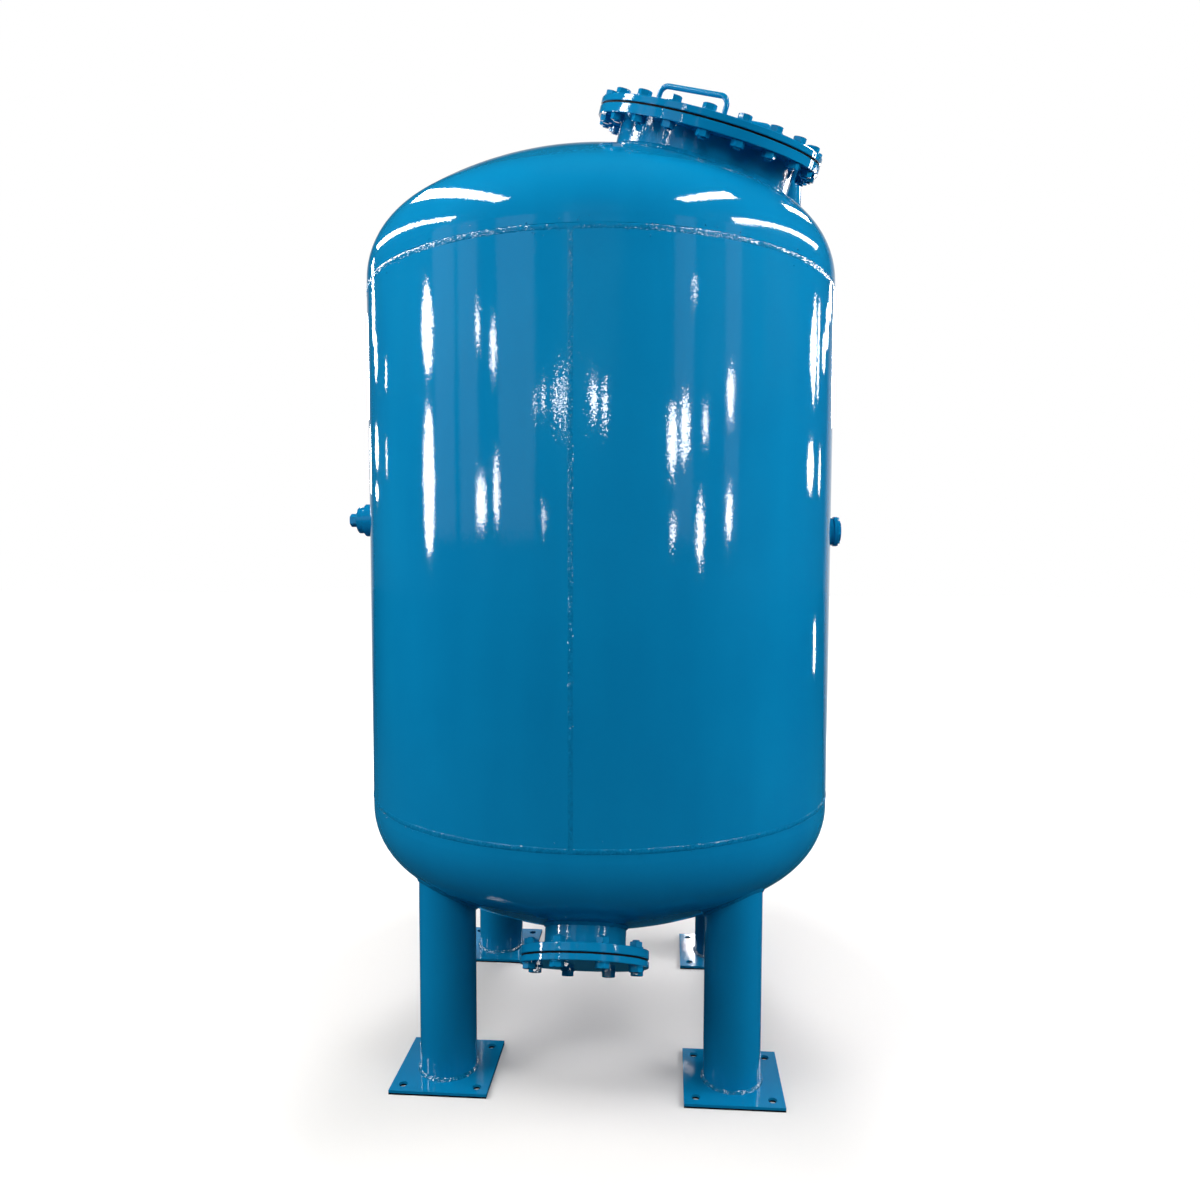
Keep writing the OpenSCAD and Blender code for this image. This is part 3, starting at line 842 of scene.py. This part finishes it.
def floor_surface():
    """Pale paper that grows white with distance. The light that it sends back to the tank is that of a darker
    floor, and the gloss sees it run up to the white wall behind."""
    recipe = Recipe(bpy.data.materials.new("pale_floor"))
    place = recipe.place()
    distance = recipe.node("VectorMath", {"operation": "LENGTH"}, {0: place}, "Value")
    reach = {"From Min": GLOW_STARTS, "From Max": GLOW_FULL, "To Min": GLOW_NEAR, "To Max": 1.0}
    grown = recipe.node("MapRange", {}, {"Value": distance, **reach})
    lit = recipe.node("BsdfDiffuse", {}, {"Color": FLOOR_PAPER})
    glow = recipe.node("Emission", {}, {"Color": grown, "Strength": 1.0})
    paper = recipe.node("AddShader", {}, {0: lit, 1: glow})

    outward = recipe.node("VectorMath", {"operation": "NORMALIZE"}, {0: place})
    wall_foot = recipe.ramp(recipe.part(outward, "Y"), *WALL_SPREAD)
    wall_foot = wall_foot * recipe.ramp(distance / WALL_DISTANCE, *WALL_FOOT)
    for_gloss = recipe.node("LightPath", output="Is Glossy Ray")
    sheen = recipe.mix(wall_foot * for_gloss, BLACK, WHITE_WALL)
    sheen = recipe.node("Emission", {}, {"Color": sheen, "Strength": 1.0})
    bounce = recipe.node("BsdfDiffuse", {}, {"Color": FLOOR_BOUNCE})
    bounce = recipe.node("AddShader", {}, {0: bounce, 1: sheen})

    for_camera = recipe.node("LightPath", output="Is Camera Ray")
    surface = recipe.node("MixShader", {}, {0: for_camera, 1: bounce, 2: paper})
    recipe.node("OutputMaterial", {}, {"Surface": surface})
    return recipe.owner


def studio_floor():
    mesh = bmesh.new()
    bmesh.ops.create_grid(mesh, x_segments=1, y_segments=1, size=FLOOR_SIZE / 2)
    data = bpy.data.meshes.new("studio_floor")
    mesh.to_mesh(data)
    mesh.free()
    data.materials.append(floor_surface())
    floor = bpy.data.objects.new("studio_floor", data)
    bpy.context.scene.collection.objects.link(floor)


def studio_sky():
    """White to the camera and a faint even sky for the light. The gloss sees a dim hall with a white wall."""
    world = bpy.data.worlds.new("studio_sky")
    bpy.context.scene.world = world
    recipe = Recipe(world)
    direction = recipe.node("TexCoord", output="Generated")
    wall = recipe.ramp(recipe.part(direction, "Y"), *WALL_SPREAD)
    hall = recipe.mix(wall, HALL, WHITE_WALL)
    sky = recipe.mix(recipe.node("LightPath", output="Is Glossy Ray"), SKY, hall)
    seen = recipe.mix(recipe.node("LightPath", output="Is Camera Ray"), sky, WHITE)
    background = recipe.node("Background", {}, {"Color": seen, "Strength": 1.0})
    recipe.node("OutputWorld", {}, {"Surface": background})


studio_floor()
studio_sky()


# ---- Lamps ----

GLOSS_AIM = Vector((0, 0, 1.7))
GLEAM_DISTANCE = 6.5

# Small lamps and windows that only the gloss shows: bearing from the front in degrees, height, width, tall
GLEAM_LEVEL = 28
GLEAM_STRETCH = 1.12
GLEAMS = (
    (-78, 3.50, 0.74, 0.68),
    (-78, 2.15, 0.74, 1.20),
    (-50, 3.50, 0.20, 0.30),
    (-42.5, 3.30, 0.27, 0.35),
    (-49, 1.95, 0.55, 0.40),
    (-41.5, 2.05, 0.30, 0.50),
    (-23.5, 2.80, 0.10, 0.15),
    (-20, 2.85, 0.15, 0.15),
    (-14, 2.85, 0.44, 0.15),
    (1.5, 2.85, 0.28, 0.25),
    (6, 2.80, 0.24, 0.25),
    (-20, 1.80, 0.15, 0.12),
    (35, 2.50, 0.45, 0.50),
    (40.5, 2.60, 0.45, 0.45),
    (50, 2.65, 0.27, 0.25),
    (62, 2.90, 0.40, 0.40),
    (35.5, 1.70, 0.25, 0.20),
    (48, 1.70, 0.38, 0.50),
    (62, 1.85, 0.35, 0.40),
    (44.5, 3.80, 0.20, 0.10),
    (118.5, 3.38, 0.60, 0.55),
    (119.5, 3.38, 0.30, 0.85),
    (124.5, 3.40, 0.10, 0.80),
    (142, 3.90, 0.45, 0.30),
    (137, 3.65, 0.45, 0.35),
    (132, 3.40, 0.40, 0.30),
    (117.5, 2.30, 0.65, 0.40),
    (128.5, 2.28, 0.10, 0.40),
    (125.5, 0.62, 0.20, 0.45),
    (-130, 4.20, 0.30, 0.50),
    (-129.5, 3.75, 0.40, 0.50),
    (-126, 3.35, 0.35, 0.35),
    (-112.5, 3.15, 0.10, 0.25),
    (-113, 2.40, 0.07, 0.30),
    (-126.5, 2.50, 0.45, 0.35),
    (-127.5, 2.07, 0.40, 0.12),
    (-150, 3.30, 0.80, 0.90),
    (173.5, 2.62, 0.60, 0.50),
    (155, 3.40, 0.60, 1.20),
    (165, 2.30, 0.30, 0.50),
    (-143, 2.40, 0.25, 0.60),
)

# Pale panels in the gloss, dimmer and taller
PANEL_LEVEL = 0.38
PANELS = (
    (-68, 3.2, 1.3, 3.2),
    (-55, 3.2, 1.1, 3.2),
    (-32, 3.2, 1.9, 3.2),
    (-10, 3.0, 0.3, 2.8),
    (40, 3.2, 1.0, 3.2),
    (63, 3.2, 0.9, 3.2),
)

# Long roof lights in the gloss: distance to the right of the tank, width, near end and far end
ROOF_HEIGHT = 6.0
ROOF_LIGHTS = (
    (-3.32, 0.72, -3.6, 3.2),
    (-7.0, 0.95, -3.2, 6.0),
    (3.38, 0.72, -3.8, -0.6),
    (3.7, 0.5, 2.5, 5.0),
    (7.65, 1.1, -3.6, 5.6),
)

# Soft lamps that light the paint and don't show in the gloss: bearing, distance, height, watts
SOFTBOX_SIZE = 2.0
OVERHEAD = 5.0
OVERHEAD_TINT = (1.0, 0.99, 0.86)
SOFTBOXES = (
    (-90, 4.5, 3.6, 94),
    (-60, 4.5, 3.6, 120),
    (0, 4.5, 3.6, 95),
    (60, 4.5, 3.6, 80),
    (90, 4.5, 3.6, 150),
    (70, 4.5, 1.8, 20),
    (-60, 2.8, 5.0, 38),
    (0, 0.3, 5.5, 72),
    (180, 4.0, 4.6, 200),
)


def lamp(name, position, aim, width, tall, watts, shape="RECTANGLE"):
    light = bpy.data.lights.new(name, "AREA")
    light.shape = shape
    light.size = width
    light.size_y = tall
    light.energy = watts
    holder = bpy.data.objects.new(name, light)
    bpy.context.scene.collection.objects.link(holder)
    holder.location = position
    holder.rotation_mode = "QUATERNION"
    holder.rotation_quaternion = (aim - position).to_track_quat("-Z", "Y")
    holder.visible_camera = False
    return holder


def gloss_lamp(name, position, aim, width, tall, level, shape="RECTANGLE"):
    """A lamp that the gloss shows at that level, and that adds no light of its own."""
    area = width * tall * (math.pi / 4 if shape == "ELLIPSE" else 1)
    lamp(name, position, aim, width, tall, level * math.pi * area, shape).visible_diffuse = False


def at_bearing(bearing, distance, height):
    """A spot round the tank. Bearing 0 is in front of it, and 90 on the right as seen from there."""
    turn = math.radians(bearing)
    return Vector((math.sin(turn) * distance, -math.cos(turn) * distance, height))


for number, (bearing, height, width, tall) in enumerate(GLEAMS):
    spot = at_bearing(bearing, GLEAM_DISTANCE, height)
    gloss_lamp(f"gleam_{number}", spot, GLOSS_AIM, width, tall * GLEAM_STRETCH, GLEAM_LEVEL, "ELLIPSE")
for number, (bearing, height, width, tall) in enumerate(PANELS):
    spot = at_bearing(bearing, GLEAM_DISTANCE, height)
    gloss_lamp(f"panel_{number}", spot, GLOSS_AIM, width, tall, PANEL_LEVEL)
for number, (to_right, width, near_end, far_end) in enumerate(ROOF_LIGHTS):
    above = Vector((to_right, (near_end + far_end) / 2, ROOF_HEIGHT))
    gloss_lamp(f"roof_light_{number}", above, above - UP, width, far_end - near_end, GLEAM_LEVEL)
for number, (bearing, distance, height, watts) in enumerate(SOFTBOXES):
    spot = at_bearing(bearing, distance, height)
    softbox = lamp(f"softbox_{number}", spot, GLOSS_AIM, SOFTBOX_SIZE, SOFTBOX_SIZE, watts)
    softbox.visible_glossy = False
    if height >= OVERHEAD:
        softbox.data.color = OVERHEAD_TINT


# ---- Camera ----

CAMERA_PLACE = Vector((0.2177, -2.8413, 1.4739))
CAMERA_YAW = math.radians(-4.01)
CAMERA_PITCH = math.radians(-3.67)
CAMERA_ROLL = math.radians(0.156)
SENSOR_WIDTH = 36
FOCAL_LENGTH = 26.74
LENS_SHIFT = (-0.0053, 0.0105)


def set_camera():
    lens = bpy.data.cameras.new("camera")
    lens.sensor_width = SENSOR_WIDTH
    lens.lens = FOCAL_LENGTH
    lens.shift_x, lens.shift_y = LENS_SHIFT
    camera = bpy.data.objects.new("camera", lens)
    bpy.context.scene.collection.objects.link(camera)
    facing = Vector((math.sin(CAMERA_YAW), math.cos(CAMERA_YAW), 0))
    ahead = facing * math.cos(CAMERA_PITCH) + UP * math.sin(CAMERA_PITCH)
    level_right = facing.cross(UP)
    level_above = level_right.cross(ahead)
    right = level_right * math.cos(CAMERA_ROLL) + level_above * math.sin(CAMERA_ROLL)
    above = level_above * math.cos(CAMERA_ROLL) - level_right * math.sin(CAMERA_ROLL)
    turned = Matrix((right, above, -ahead)).transposed().to_4x4()
    camera.matrix_world = Matrix.Translation(CAMERA_PLACE) @ turned
    bpy.context.scene.camera = camera


set_camera()
bpy.context.scene.view_settings.view_transform = "Standard"
